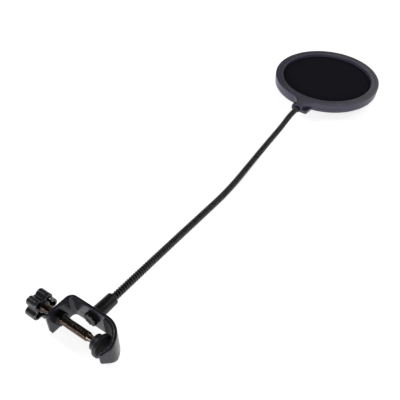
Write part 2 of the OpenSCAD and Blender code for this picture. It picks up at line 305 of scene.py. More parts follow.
def noise(tree, place, size_mm, detail=3.0, rough=0.5, stretch=None):
    """Noise with features of about size_mm, pulled out along an axis by stretch."""
    if stretch is not None:
        scale = tree.nodes.new("ShaderNodeVectorMath")
        scale.operation = "MULTIPLY"
        scale.inputs[1].default_value = stretch
        tree.links.new(place, scale.inputs[0])
        place = scale.outputs[0]
    node = tree.nodes.new("ShaderNodeTexNoise")
    node.inputs["Scale"].default_value = 1 / (size_mm * MM)
    node.inputs["Detail"].default_value = detail
    node.inputs["Roughness"].default_value = rough
    tree.links.new(place, node.inputs["Vector"])
    return node.outputs["Fac"]


def spread(tree, value, low, high, to_low, to_high):
    node = tree.nodes.new("ShaderNodeMapRange")
    node.inputs["From Min"].default_value = low
    node.inputs["From Max"].default_value = high
    node.inputs["To Min"].default_value = to_low
    node.inputs["To Max"].default_value = to_high
    tree.links.new(value, node.inputs["Value"])
    return node.outputs["Result"]


def multiply(tree, a, b):
    node = tree.nodes.new("ShaderNodeMath")
    node.operation = "MULTIPLY"
    tree.links.new(a, node.inputs[0])
    if isinstance(b, (int, float)):
        node.inputs[1].default_value = b
    else:
        tree.links.new(b, node.inputs[1])
    return node.outputs[0]


def mix_colours(tree, factor, a, b):
    node = tree.nodes.new("ShaderNodeMix")
    node.data_type = "RGBA"
    tree.links.new(factor, node.inputs["Factor"])
    for socket, colour in (("A", a), ("B", b)):
        target = [s for s in node.inputs if s.name == socket and s.type == "RGBA"][0]
        if isinstance(colour, tuple):
            target.default_value = (*colour, 1)
        else:
            tree.links.new(colour, target)
    return [s for s in node.outputs if s.type == "RGBA"][0]


def bump(tree, shader, height, depth_mm, strength=1.0, under=None):
    node = tree.nodes.new("ShaderNodeBump")
    node.inputs["Distance"].default_value = depth_mm * MM
    node.inputs["Strength"].default_value = strength
    tree.links.new(height, node.inputs["Height"])
    if under is not None:
        tree.links.new(under, node.inputs["Normal"])
    tree.links.new(node.outputs["Normal"], shader.inputs["Normal"])
    return node.outputs["Normal"]


def edge_wear(tree, place, patch_mm, amount):
    """How far an edge is rubbed bare: the stored edge mark, broken up by noise."""
    patches = spread(tree, noise(tree, place, patch_mm, 5.0, 0.6), 0.35, 0.65, 0, amount)
    return multiply(tree, stored(tree, "edge").outputs["Fac"], patches)


def paint_material(name, tone, light_tone, worn_tone, roughness, specular=0.3):
    """Satin black powder coat: a faint orange peel, dust-fine grain and slightly rubbed edges."""
    mat, tree, shader = new_material(name, roughness, specular=specular)
    place = rest_place(tree)
    cloud = noise(tree, place, 9, 4.0, 0.6)
    ground = mix_colours(tree, cloud, tone, light_tone)
    worn = edge_wear(tree, place, 2.5, 0.75)
    tree.links.new(mix_colours(tree, worn, ground, worn_tone), shader.inputs["Base Color"])
    smear = noise(tree, place, 5, 3.0, 0.6)
    tree.links.new(spread(tree, smear, 0.3, 0.7, roughness - 0.06, roughness + 0.07),
              shader.inputs["Roughness"])
    peel = bump(tree, shader, noise(tree, place, 1.3, 2.0), 0.03, 0.5)
    bump(tree, shader, noise(tree, place, 0.25, 2.0), 0.006, 0.5, peel)
    return mat


def plastic_material(name, tone, light_tone, worn_tone, roughness, grain_mm, specular=0.3):
    """Moulded plastic: an even fine grain, slight flow clouds and polished edges."""
    mat, tree, shader = new_material(name, roughness, specular=specular)
    place = rest_place(tree)
    cloud = noise(tree, place, 14, 3.0, 0.55)
    ground = mix_colours(tree, cloud, tone, light_tone)
    worn = edge_wear(tree, place, 3, 0.6)
    tree.links.new(mix_colours(tree, worn, ground, worn_tone), shader.inputs["Base Color"])
    grain = noise(tree, place, grain_mm, 2.0, 0.6)
    tree.links.new(spread(tree, cloud, 0.3, 0.7, roughness - 0.05, roughness + 0.05),
              shader.inputs["Roughness"])
    fine = bump(tree, shader, grain, 0.02, 0.6)
    bump(tree, shader, noise(tree, place, 7, 2.0), 0.05, 0.3, fine)
    return mat


def rubber_material(name, tone, dusty_tone):
    """Matte rubber: dull, finely grained and a little dusty."""
    mat, tree, shader = new_material(name, 0.72, specular=0.15, sheen=0.04)
    place = rest_place(tree)
    dust = spread(tree, noise(tree, place, 4, 5.0, 0.65), 0.4, 0.75, 0, 1)
    tree.links.new(mix_colours(tree, dust, tone, dusty_tone), shader.inputs["Base Color"])
    tree.links.new(spread(tree, dust, 0, 1, 0.62, 0.85), shader.inputs["Roughness"])
    bump(tree, shader, noise(tree, place, 0.35, 3.0, 0.6), 0.03, 0.7)
    return mat


def steel_material(name, bright, dark, roughness, stretch, root_shade=0.0, mark_mm=0.012):
    """Bare or tinted steel with tool marks along stretch; with root_shade the thread roots, read from the
    stored groove depth, are darkened as painted shade.
    """
    mat, tree, shader = new_material(name, roughness, metallic=1.0)
    place = rest_place(tree)
    marks = noise(tree, place, 0.5, 3.0, 0.6, stretch)
    tarnish = spread(tree, noise(tree, place, 3.5, 4.0, 0.6), 0.3, 0.7, 0, 1)
    colour = mix_colours(tree, tarnish, bright, dark)
    if root_shade:
        # Painted shade: the deeper the thread root, the nearer its colour comes to a quarter of the dark
        # tone.
        depth = stored(tree, "groove")
        colour = mix_colours(tree, multiply(tree, depth.outputs["Fac"], root_shade), colour,
                             tuple(0.25 * c for c in dark))
    tree.links.new(colour, shader.inputs["Base Color"])
    tree.links.new(spread(tree, marks, 0.3, 0.7, roughness - 0.05, roughness + 0.07),
              shader.inputs["Roughness"])
    bump(tree, shader, marks, mark_mm, 0.6)
    return mat


def wire_material(name, tone, light_tone):
    """Black wound wire: a painted highlight on its crests, as a lighter tone and full specular, and
    painted shade in the gaps between the turns and on the core, as a dark tone and no specular.
    """
    mat, tree, shader = new_material(name, 0.3)
    place = rest_place(tree)
    mottle = noise(tree, place, 2.5, 4.0, 0.6)
    crest = stored(tree, "crest")
    crest_highlight = multiply(tree, crest.outputs["Fac"], spread(tree, mottle, 0.3, 0.7, 0.8, 1.0))
    # Painted highlight on the crests and painted shade in the gaps: the crest mark sets both the tone and
    # the specular level.
    tree.links.new(mix_colours(tree, crest_highlight, tone, light_tone), shader.inputs["Base Color"])
    tree.links.new(crest_highlight, shader.inputs["Specular IOR Level"])
    tree.links.new(spread(tree, mottle, 0.3, 0.7, 0.24, 0.36), shader.inputs["Roughness"])
    bump(tree, shader, noise(tree, place, 0.4, 2.0), 0.01, 0.5)
    return mat


def screen_material(name, thread, gap_shade, pitch_mm):
    """Woven nylon: threads cross over and under at the pitch; the weave's low points, where the gaps
    between threads are, take the dark gap tone as painted shade.
    """
    mat, tree, shader = new_material(name, 0.85, specular=0.03)
    place = rest_place(tree)
    turn = 2 * math.pi / (pitch_mm * MM)
    split = tree.nodes.new("ShaderNodeSeparateXYZ")
    tree.links.new(place, split.inputs[0])

    def ripple(axis):
        wave = tree.nodes.new("ShaderNodeMath")
        wave.operation = "SINE"
        tree.links.new(multiply(tree, split.outputs[axis], turn), wave.inputs[0])
        return wave.outputs[0]

    weave = multiply(tree, ripple("X"), ripple("Y"))
    height = spread(tree, weave, -1, 1, 0, 1)
    uneven = noise(tree, place, 6, 3.0, 0.6)
    lit = multiply(tree, height, spread(tree, uneven, 0.3, 0.7, 0.75, 1.0))
    # Painted shade: the colour goes from the thread tone on the weave's high points to the dark gap tone
    # in its low points.
    tree.links.new(mix_colours(tree, lit, gap_shade, thread), shader.inputs["Base Color"])
    tree.links.new(spread(tree, uneven, 0.3, 0.7, 0.72, 0.88), shader.inputs["Roughness"])
    bump(tree, shader, height, 0.12, 0.7)
    return mat


STRAP_PAINT = paint_material("satin_paint", (0.0085, 0.0075, 0.0135), (0.013, 0.0115, 0.0205),
                             (0.05, 0.048, 0.060), 0.26, 0.45)
SLEEVE_PAINT = paint_material("sleeve_paint", (0.005, 0.005, 0.006), (0.009, 0.0085, 0.011),
                              (0.035, 0.034, 0.038), 0.3, 0.36)
RING_PLASTIC = plastic_material("ring_plastic", (0.037, 0.033, 0.058), (0.045, 0.041, 0.070),
                                (0.10, 0.093, 0.14), 0.34, 0.4, 0.45)
KNOB_PLASTIC = plastic_material("knob_plastic", (0.007, 0.0068, 0.010), (0.011, 0.0108, 0.016),
                                (0.045, 0.044, 0.052), 0.24, 0.5, 0.8)
CUP_PLASTIC = plastic_material("cup_plastic", (0.009, 0.008, 0.011), (0.015, 0.0132, 0.018),
                               (0.05, 0.046, 0.056), 0.34, 0.4, 0.4)
THUMB_PLASTIC = plastic_material("thumb_plastic", (0.005, 0.0045, 0.005), (0.010, 0.0078, 0.0082),
                                 (0.03, 0.022, 0.022), 0.34, 0.5, 0.14)
JAW_RUBBER = rubber_material("jaw_rubber", (0.009, 0.008, 0.009), (0.020, 0.018, 0.020))
PAD_RUBBER = rubber_material("pad_rubber", (0.007, 0.0065, 0.0075), (0.015, 0.014, 0.016))
NUT_STEEL = steel_material("nut_steel", (0.042, 0.042, 0.045), (0.022, 0.022, 0.024), 0.34, (1, 1, 1))
FERRULE_STEEL = steel_material("ferrule_steel", (0.020, 0.020, 0.023), (0.011, 0.011, 0.013), 0.3,
                               (1, 1, 0.25))
# The screw's and the stud's thread roots are darkened by the groove depth as painted shade.
SCREW_STEEL = steel_material("screw_steel", (0.135, 0.103, 0.087), (0.105, 0.078, 0.065), 0.2,
                             (1, 0.25, 0.25), root_shade=0.7, mark_mm=0.003)
STUD_STEEL = steel_material("stud_steel", (0.32, 0.25, 0.19), (0.16, 0.12, 0.09), 0.3,
                            (0.25, 1, 0.25), root_shade=0.92)
COIL_WIRE = wire_material("coil_wire", (0.0015, 0.0015, 0.002), (0.022, 0.022, 0.024))
# The second tone is the painted shade for the weave's low points.
SCREEN_WEAVE = screen_material("screen_weave", (0.0270, 0.0250, 0.0365), (0.0095, 0.0090, 0.0125), 0.9)


def finish_piece(obj, body, node, material, matrix=None, edge_mm=0.8):
    """The marks, material, body and CAD node of one piece."""
    store_rest(obj, matrix)
    store_edges(obj, edge_mm)
    obj.data.materials.clear()
    obj.data.materials.append(material)
    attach(obj, body)
    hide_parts(node)


# ---- clamp strap and its lining

STRAP_W, STRAP_T = 24.0, 2.8
JAW_R, NOSE_R = 24.0, 10.0
NOSE_START, NOSE_END = 22.0, -33.0
TIP_LEN = 6.5
CORNER_R = 6.5
ARM_ROUND = 4.0
TIP_ROUND = 1.6
TAPER, TAPER_START = 0.55, 3.0
LINING_T, LINING_MARGIN = 1.5, 1.2
STRAP_EDGE, LINING_EDGE = 0.55, 0.4
LINING_CORNER = 3.0
SCREW_HOLE_R, STUD_HOLE_R = 4.4, 3.2
STRIP_CORNER_STEPS, STRIP_ACROSS = 3, 8


def direction(degrees):
    return np.array((math.cos(math.radians(degrees)), math.sin(math.radians(degrees))))


strap_low, strap_high = (np.array(p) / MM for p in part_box("clamp_body"))
ARM_X, ARM_Y, BACK = strap_low[0], strap_low[1], strap_high[1]
nose_c = np.array((strap_high[0] - NOSE_R, 0.0))
jaw_c = nose_c - (JAW_R - NOSE_R) * direction(NOSE_START)
tip_along = np.array((direction(NOSE_END)[1], -direction(NOSE_END)[0]))
lining_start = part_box("jaw_lining")[0][0] / MM


def bend_stations(centre, radius, start, end, steps):
    return [(centre + radius * direction(a), direction(a))
            for a in np.linspace(start, end, steps, endpoint=False)]


def straight_stations(start, end, normal, steps, last=False):
    return [(start + (end - start) * s, np.array(normal, float))
            for s in np.linspace(0, 1, steps, endpoint=last)]


def jaw_stations(depth, tip):
    """Points along the jaw with their outward normals, depth inside the strap's outer face."""
    root = nose_c + (NOSE_R - depth) * direction(NOSE_END)
    return (bend_stations(jaw_c, JAW_R - depth, 90, NOSE_START, 44)
            + bend_stations(nose_c, NOSE_R - depth, NOSE_START, NOSE_END, 26)
            + straight_stations(root, root + tip * tip_along, direction(NOSE_END), 14, last=True))


def arm_stations(depth):
    """The same from the screw arm's end, round the corner and along the back to the jaw."""
    corner_c = np.array((ARM_X + CORNER_R, BACK - CORNER_R))
    end = np.array((ARM_X + depth, ARM_Y))
    round_top = end + (0, ARM_ROUND)
    corner = bend_stations(corner_c, CORNER_R - depth, 180, 90, 20)
    back = np.array((corner_c[0], BACK - depth))
    return (straight_stations(end, round_top, (-1, 0), 16)
            + straight_stations(round_top, corner[0][0], (-1, 0), 14)
            + corner
            + straight_stations(back, np.array((jaw_c[0], BACK - depth)), (0, 1), 24))


def rounded_end(distance, radius):
    """What a rounded end takes off the half width, at a distance from the end."""
    dip = radius - min(max(distance, 0.0), radius)
    return radius - math.sqrt(radius ** 2 - dip ** 2)


def strip_half_width(point, margin, tip):
    """Half the strip's width at a point of it: the arm's end is round and the jaw tapers to its tip."""
    half = STRAP_W / 2 - margin
    if margin > 0 and point[0] < jaw_c[0]:
        return half - rounded_end(point[0] - lining_start, LINING_CORNER)
    if point[0] < ARM_X + STRAP_T:
        return half - rounded_end(point[1] - ARM_Y, ARM_ROUND)
    if point[0] > jaw_c[0] and point[1] < TAPER_START:
        half -= (TAPER_START - point[1]) * TAPER
        half -= rounded_end(tip - float((point - nose_c) @ tip_along), TIP_ROUND)
    return half


def sweep_strip(name, stations, thickness, edge, margin, tip):
    """A strip with rounded edges through stations of middle points and outward normals."""

    def section(point, normal, corner):
        row = []
        for quarter, (side_u, side_z) in enumerate(((1, 1), (-1, 1), (-1, -1), (1, -1))):
            for a in np.linspace(90 * quarter, 90 * quarter + 90, STRIP_CORNER_STEPS + 1):
                du, dz = corner * direction(a)
                row.append((side_u * (thickness / 2 - edge) + du, side_z, dz))
            if side_u * side_z < 0:
                u = side_u * (thickness / 2 - edge + corner)
                row += [(u, side_z * (1 - 2 * k / STRIP_ACROSS), 0) for k in range(1, STRIP_ACROSS)]
        spots = []
        for u, share, dz in row:
            x, y = point + normal * u
            half = strip_half_width(np.array((x, y)), margin, tip) - edge
            spots.append((x * MM, y * MM, (share * half + dz) * MM))
        return spots

    def end_sections(end, inward):
        """From the end face inwards, with the end's edge rounded."""
        return [section(end[0] + inward * edge * (1 - math.cos(math.radians(a))), end[1],
                        edge * math.sin(math.radians(a))) for a in (0, 30, 60)]

    start_in = unit(stations[1][0] - stations[0][0])
    end_in = unit(stations[-2][0] - stations[-1][0])
    kept = [(p, n) for p, n in stations
            if np.linalg.norm(p - stations[0][0]) >= edge and np.linalg.norm(p - stations[-1][0]) >= edge]
    rows = end_sections(stations[0], start_in) + [section(p, n, edge) for p, n in kept]
    rows += end_sections(stations[-1], end_in)[::-1]
    points, faces = join_rows(rows)
    return mesh_object(name, points, faces)


def rod(name, matrix, start, end, radius, columns=64):
    return lathe(name, [(start, radius), (end, radius)], matrix, columns)


def build_strap():
    strap = sweep_strip("strap", arm_stations(STRAP_T / 2) + jaw_stations(STRAP_T / 2, TIP_LEN),
                        STRAP_T, STRAP_EDGE, 0, TIP_LEN)
    boolean(strap, rod("screw_hole", SCREW, -ARM_X - STRAP_T - 1, -ARM_X + 1, SCREW_HOLE_R))
    boolean(strap, rod("stud_hole", ROOT, -1, STRAP_T + 1, STUD_HOLE_R))
    finish_piece(strap, "clamp", "clamp_body", STRAP_PAINT)


def build_lining():
    depth = STRAP_T + LINING_T / 2
    start = np.array((lining_start, BACK - depth))
    lead_in = straight_stations(start, np.array((jaw_c[0], BACK - depth)), (0, 1), 9)
    tip = TIP_LEN - 1
    lining = sweep_strip("lining", lead_in + jaw_stations(depth, tip), LINING_T, LINING_EDGE,
                         LINING_MARGIN, tip)
    finish_piece(lining, "clamp", "jaw_lining", JAW_RUBBER)


build_strap()
build_lining()


# ---- screw, nut and knob

SCREW_R, SCREW_PITCH = 4.0, 1.25
SCREW_NECK_R, BALL_R = 2.2, 2.5
KNOB_WALL, KNOB_CAP, KNOB_HUB_R = 2.0, 2.5, 5.6
LOBES, LOBE_AT, LOBE_R, VALLEY_AT, KNOB_PHASE = 5, 8.8, 4.4, 11.6, 20.0
CORE_R = 9.8
NUT_FLATS = 12.0


def thread_profile(phase):
    """Depth below the crest, from 0 to 1, over one turn: a flat crest, straight flanks, a round root."""
    x = abs((phase % 1.0) - 0.5) * 2
    return 0.0 if x > 0.84 else (1.0 if x < 0.2 else (0.84 - x) / 0.64)


def threaded_profile(name, matrix, thread_from, thread_to, pitch, crest, depth, before, after,
                     columns=40, rows_per_turn=12):
    """A threaded rod along z. before and after are (z, radius) points of its plain ends, in mm."""
    angles = full_turn(columns)
    rows, grooves = [], []
    for z, r in before:
        rows.append([(r, z, a) for a in angles])
        grooves.append([0.0] * columns)
    count = int((thread_to - thread_from) / pitch * rows_per_turn)
    for z in np.linspace(thread_from, thread_to, count + 1):
        fade = min(1.0, (z - thread_from) / (0.8 * pitch), (thread_to - z) / (0.8 * pitch))
        deep = [fade * thread_profile(z / pitch - a / (2 * math.pi)) for a in angles]
        rows.append([(crest - depth * d, z, a) for d, a in zip(deep, angles)])
        grooves.append(deep)
    for z, r in after:
        rows.append([(r, z, a) for a in angles])
        grooves.append([0.0] * columns)
    points, faces = join_rows(around(rows))
    return mesh_object(name, points, faces, matrix, grooves, 50)


def build_screw():
    low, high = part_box("clamp_screw")
    knob_end, ball_end = -low[0] / MM, -high[0] / MM
    ball_at = ball_end + BALL_R
    cone_end, cone_start = ball_at + 5, ball_at + 11.5
    ball = [(ball_at - BALL_R * math.cos(a), max(BALL_R * math.sin(a), 0.02))
            for a in np.linspace(0, math.pi - math.asin(SCREW_NECK_R / BALL_R), 14)]
    neck = rounded([ball[-1], (cone_end, SCREW_NECK_R), (cone_start - 0.3, SCREW_R - 0.5)], [1.5], 4)
    end = [(knob_end - 0.4, SCREW_R - 0.35), (knob_end, SCREW_R - 0.75), (knob_end, 0.02)]
    screw = threaded_profile("screw", SCREW, cone_start, knob_end - 0.5, SCREW_PITCH, SCREW_R, 0.66,
                             ball + neck[1:], end)
    finish_piece(screw, "screw", "clamp_screw", SCREW_STEEL)


def build_nut():
    """A hexagonal nut with both faces chamfered, as a hexagonal prism cut by a turned blank."""
    low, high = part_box("screw_nut")
    start, end = -high[0] / MM, -low[0] / MM
    corner_r = NUT_FLATS / 2 / math.cos(math.pi / 6)
    rise = (corner_r - NUT_FLATS / 2) * math.tan(math.radians(30))
    blank = [(start, NUT_FLATS / 2 - 0.2), (start + rise, corner_r + 0.1), (end - rise, corner_r + 0.1),
             (end, NUT_FLATS / 2 - 0.2)]
    nut = lathe("nut", blank, SCREW, 96)
    angles = np.radians(np.arange(6) * 60)
    rows = [[(corner_r, z, a) for a in angles] for z in (start - 1, end + 1)]
    points, faces = join_rows(around(rows))
    boolean(nut, mesh_object("nut_hexagon", points, faces, SCREW), "INTERSECT")
    bore = [(start - 1, SCREW_R + 1.05), (start, SCREW_R + 0.55), (start + 0.5, SCREW_R + 0.05),
            (end - 0.5, SCREW_R + 0.05), (end, SCREW_R + 0.55), (end + 1, SCREW_R + 1.05)]
    boolean(nut, lathe("nut_bore", bore, SCREW, 64))
    bevel = nut.modifiers.new("edges", "BEVEL")
    bevel.width, bevel.segments, bevel.limit_method, bevel.angle_limit = 0.15 * MM, 2, "ANGLE", 0.6
    finish_piece(nut, "clamp", "screw_nut", NUT_STEEL, edge_mm=0.5)


def star_radius(angle, inset):
    """The knob's outline in polar form, drawn inwards by inset: lobes and valleys meet tangentially."""
    step = math.pi / LOBES
    valley_r = math.sqrt(LOBE_AT ** 2 + VALLEY_AT ** 2
                         - 2 * LOBE_AT * VALLEY_AT * math.cos(step)) - LOBE_R
    off = (angle - math.radians(KNOB_PHASE) + step) % (2 * step) - step
    lobe_r, valley = LOBE_R - inset, valley_r + inset
    reach = 0.0
    if LOBE_AT * abs(math.sin(off)) < lobe_r:
        reach = LOBE_AT * math.cos(off) + math.sqrt(lobe_r ** 2 - (LOBE_AT * math.sin(off)) ** 2)
    reach = max(reach, CORE_R - inset)
    from_valley = step - abs(off)
    if VALLEY_AT * math.sin(from_valley) < valley:
        near = VALLEY_AT * math.cos(from_valley) - math.sqrt(
            valley ** 2 - (VALLEY_AT * math.sin(from_valley)) ** 2)
        reach = min(reach, near)
    return reach


def build_knob():
    """The knob is one shell: domed end, lobed wall, rolled rim, cavity, hub and blind bore."""
    low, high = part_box("clamp_knob")
    far, near = -low[0] / MM, -high[0] / MM
    edge = 1.3
    angles = full_turn(200)
    rows = []

    def star_row(z, inset):
        rows.append([(star_radius(a, inset), z, a) for a in angles])

    def round_row(z, r):
        rows.append([(r, z, a) for a in angles])

    round_row(far - 0.9, 0.05)
    round_row(far - 0.9, 5.0)
    round_row(far - 0.75, 5.4)
    round_row(far - 0.15, 5.8)
    round_row(far, 6.2)
    star_row(far, edge + 1.2)
    for a in np.radians(np.linspace(0, 90, 7)):
        star_row(far - edge * (1 - math.cos(a)), edge * (1 - math.sin(a)))
    for z in np.linspace(far - edge, near + 0.8, 7)[1:-1]:
        star_row(z, 0)
    for a in np.radians(np.linspace(0, 90, 5)):
        star_row(near + 0.8 * (1 - math.sin(a)), 0.8 * (1 - math.cos(a)))
    for a in np.radians(np.linspace(0, 90, 4)):
        star_row(near + 0.4 * (1 - math.cos(a)), KNOB_WALL - 0.4 + 0.4 * math.sin(a))
    floor = far - KNOB_CAP
    star_row(floor - 0.6, KNOB_WALL)
    star_row(floor - 0.15, KNOB_WALL + 0.2)
    star_row(floor, KNOB_WALL + 0.6)
    round_row(floor, KNOB_HUB_R + 0.6)
    round_row(floor - 0.6, KNOB_HUB_R)
    hub = near + 1
    bore_r, bore_end = SCREW_R + 0.05, -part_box("clamp_screw")[0][0] / MM + 0.1
    for z, r in ((hub + 0.4, KNOB_HUB_R), (hub + 0.1, KNOB_HUB_R - 0.1), (hub, KNOB_HUB_R - 0.4),
                 (hub, SCREW_R + 0.4), (hub + 0.35, bore_r), (bore_end, bore_r), (bore_end, 0.05)):
        round_row(z, r)
    points, faces = join_rows(around(rows))
    knob = mesh_object("knob", points, faces, SCREW)
    finish_piece(knob, "screw", "clamp_knob", KNOB_PLASTIC, edge_mm=0.9)


build_screw()
build_nut()
build_knob()


# ---- pressure pad

PAD_R, PAD_WALL, PAD_RECESS = 10.2, 1.6, 1.9
HUB_R, HUB_LEN, LIP_R, LIP_T, BALL_BORE_R = 7.3, 5.2, 3.2, 0.8, 4.4


def build_pad():
    low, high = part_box("pad_cup")
    back, front = -low[0] / MM, -high[0] / MM
    step = back - HUB_LEN
    outside = rounded([(back, LIP_R + 0.3), (back, HUB_R), (step, HUB_R), (step, PAD_R), (front, PAD_R),
                       (front, PAD_R - PAD_WALL)], [0.9, 0.6, 1.1, 0.5], 5)
    ball_at = -joint_at("pad_tilt")[0] / MM
    inside = [(front, PAD_R - PAD_WALL), (front + PAD_RECESS, PAD_R - PAD_WALL),
              (front + PAD_RECESS, 0.05)]
    seat = ball_at - BALL_R - 0.2
    bore = [(seat, 0.05), (seat, BALL_BORE_R), (back - LIP_T, BALL_BORE_R), (back - LIP_T, LIP_R),
            (back - 0.3, LIP_R)]
    cup = lathe("cup", outside + inside[1:], SCREW, 96)
    boolean(cup, lathe("ball_bore", bore[:-1] + [(back + 1, LIP_R)], SCREW, 48))
    finish_piece(cup, "pad", "pad_cup", CUP_PLASTIC, edge_mm=0.7)
    low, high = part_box("pad_rubber")
    rubber_back, face = -low[0] / MM, -high[0] / MM
    rubber_r = (high[1] - low[1]) / 2 / MM
    rim = rounded([(rubber_back, 0.05), (rubber_back, rubber_r), (face, rubber_r), (face, 0.05)],
                  [0.1, 0.5], 4)
    pad = lathe("pad_face", rim, SCREW, 96)
    finish_piece(pad, "pad", "pad_rubber", PAD_RUBBER, edge_mm=0.6)


build_pad()


# ---- neck root: sleeve, stud, washer, thumb nut

SLEEVE_R, SLEEVE_END_R, SLEEVE_ROUND = 6.5, 6.1, 2.0
NECK_R, NECK_IN = 3.9, 11.0
STUD_R, STUD_PITCH = 3.0, 1.0
THUMB_R, THUMB_CAP, THUMB_FLANGE, FLUTES, FLUTE_R = 6.9, 0.9, 0.6, 9, 1.5


def build_sleeve():
    low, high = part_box("base_sleeve")
    start, end = (low[1] - ROOT[1, 3]) / MM, (high[1] - ROOT[1, 3]) / MM
    bore = NECK_R + 0.05
    line = rounded([(start, STUD_R + 0.1), (start, SLEEVE_R), (end, SLEEVE_END_R), (end, bore),
                    (end - NECK_IN, bore), (end - NECK_IN, STUD_R + 0.1)],
                   [0.5, SLEEVE_ROUND, 0.4, 0, 0], 7)
    sleeve = lathe("sleeve", line, ROOT, 80, closed=True)
    finish_piece(sleeve, "neck_base", "base_sleeve", SLEEVE_PAINT, edge_mm=0.7)


def build_stud():
    low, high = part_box("base_stud")
    start, end = (low[1] - ROOT[1, 3]) / MM, (high[1] - ROOT[1, 3]) / MM
    stud = threaded_profile("stud", ROOT, start + 0.5, end - 0.5, STUD_PITCH, STUD_R, 0.54,
                            [(start, 0.02), (start, STUD_R - 0.5)],
                            [(end, STUD_R - 0.5), (end, 0.02)], 32, 10)
    finish_piece(stud, "neck_base", "base_stud", STUD_STEEL)


def build_thumb_nut():
    low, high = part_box("thumb_nut")
    start, end = (low[1] - ROOT[1, 3]) / MM, (high[1] - ROOT[1, 3]) / MM
    angles = full_turn(180)
    flange = end - THUMB_FLANGE
    rows = []

    def flute_radius(a, inset):
        step = math.pi / FLUTES
        off = (a + step) % (2 * step) - step
        at, r = THUMB_R + FLUTE_R / 3, FLUTE_R + inset
        if at * abs(math.sin(off)) >= r:
            return THUMB_R - inset
        near = at * math.cos(off) - math.sqrt(r ** 2 - (at * math.sin(off)) ** 2)
        return min(THUMB_R - inset, near)

    def fluted_row(z, inset):
        rows.append([(flute_radius(a, inset), z, a) for a in angles])

    def round_row(z, r):
        rows.append([(r, z, a) for a in angles])

    for z, r in ((start + 0.25, 0.02), (start + 0.25, 2.8), (start + 0.05, 3.2)):
        round_row(z, r)
    fluted_row(start, 1.5)
    edge = 0.7
    for a in np.radians(np.linspace(90, 0, 6)):
        fluted_row(start + edge * (1 - math.sin(a)), edge * (1 - math.cos(a)))
    for z in np.linspace(start + edge, flange - 0.05, 5)[1:]:
        fluted_row(z, 0)
    bore = STUD_R + 0.05
    for z, r in ((flange, THUMB_R - 0.12), (flange + 0.12, THUMB_R), (end - 0.15, THUMB_R),
                 (end - 0.04, THUMB_R - 0.06), (end, THUMB_R - 0.2), (end, bore + 0.3),
                 (end - 0.3, bore), (start + THUMB_CAP, bore), (start + THUMB_CAP, 0.05)):
        round_row(z, r)
    points, faces = join_rows(around(rows))
    nut = mesh_object("thumb_knob", points, faces, ROOT)
    finish_piece(nut, "thumb", "thumb_nut", THUMB_PLASTIC, edge_mm=0.6)


build_sleeve()
build_stud()
build_thumb_nut()


# ---- neck: a wound wire over its core

BENDS = 12
WIRE_R, WIRE_PITCH = 1.15, 2.86
WIRE_SIDES, TURN_STEPS = 12, 32
CORE_R_MM = 3.1
CORE_STATIONS, CORE_SIDES = 16, 24
FERRULE_LEN, FERRULE_BORE = 18.0, 17.0
TIP_PAST_MIDDLE = 6.4


def neck_line():
    """A smooth line through the bends, straight in the sleeve and in the ferrule; points in metres."""
    bends = [joint_at(f"neck_bend_{k:02d}") for k in range(1, BENDS + 1)]
    sleeve_top = np.array((bends[0][0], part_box("base_sleeve")[1][1], bends[0][2]))
    root = sleeve_top - (0, (NECK_IN - 0.5) * MM, 0)
    ferrule_low = node_middle("neck_ferrule") - neck_to_ring * (FERRULE_LEN / 2) * MM
    tip = node_middle("neck_ferrule") + neck_to_ring * TIP_PAST_MIDDLE * MM
    return np.array([root, sleeve_top] + bends + [ferrule_low, tip])


def spline(knots, spacing):
    """Points every spacing or so along a smooth (centripetal Catmull-Rom) line through the knots."""
    ends = [2 * knots[0] - knots[1], *knots, 2 * knots[-1] - knots[-2]]
    line = []
    for p0, p1, p2, p3 in zip(ends, ends[1:], ends[2:], ends[3:]):
        t = np.cumsum([0] + [np.linalg.norm(b - a) ** 0.5 for a, b in ((p0, p1), (p1, p2), (p2, p3))])
        count = max(2, int(np.linalg.norm(p2 - p1) / spacing))
        for u in np.linspace(t[1], t[2], count, endpoint=False):
            a1 = (t[1] - u) / (t[1] - t[0]) * p0 + (u - t[0]) / (t[1] - t[0]) * p1
            a2 = (t[2] - u) / (t[2] - t[1]) * p1 + (u - t[1]) / (t[2] - t[1]) * p2
            a3 = (t[3] - u) / (t[3] - t[2]) * p2 + (u - t[2]) / (t[3] - t[2]) * p3
            b1 = (t[2] - u) / (t[2] - t[0]) * a1 + (u - t[0]) / (t[2] - t[0]) * a2
            b2 = (t[3] - u) / (t[3] - t[1]) * a2 + (u - t[1]) / (t[3] - t[1]) * a3
            line.append((t[2] - u) / (t[2] - t[1]) * b1 + (u - t[1]) / (t[2] - t[1]) * b2)
    return np.array(line + [knots[-1]])


class Line:
    """A line that can be asked for its point and its frame at a distance along it."""

    def __init__(self, points):
        self.points = points
        self.along = np.concatenate(([0], np.cumsum(np.linalg.norm(np.diff(points, axis=0), axis=1))))
        self.length = self.along[-1]

    def at(self, s):
        return np.array([np.interp(s, self.along, self.points[:, k]) for k in range(3)]).T

    def frames(self, s):
        """Point, side, up and tangent at each distance; side stays level, since the neck nearly is."""
        step = 1.5 * MM
        point = self.at(s)
        tangent = self.at(np.minimum(s + step, self.length)) - self.at(np.maximum(s - step, 0))
        tangent /= np.linalg.norm(tangent, axis=1)[:, None]
        side = np.cross(tangent, (0.0, 0.0, 1.0))
        side /= np.linalg.norm(side, axis=1)[:, None]
        return point, side, np.cross(side, tangent), tangent

    def nearest(self, place):
        return self.along[np.argmin(np.linalg.norm(self.points - place, axis=1))]


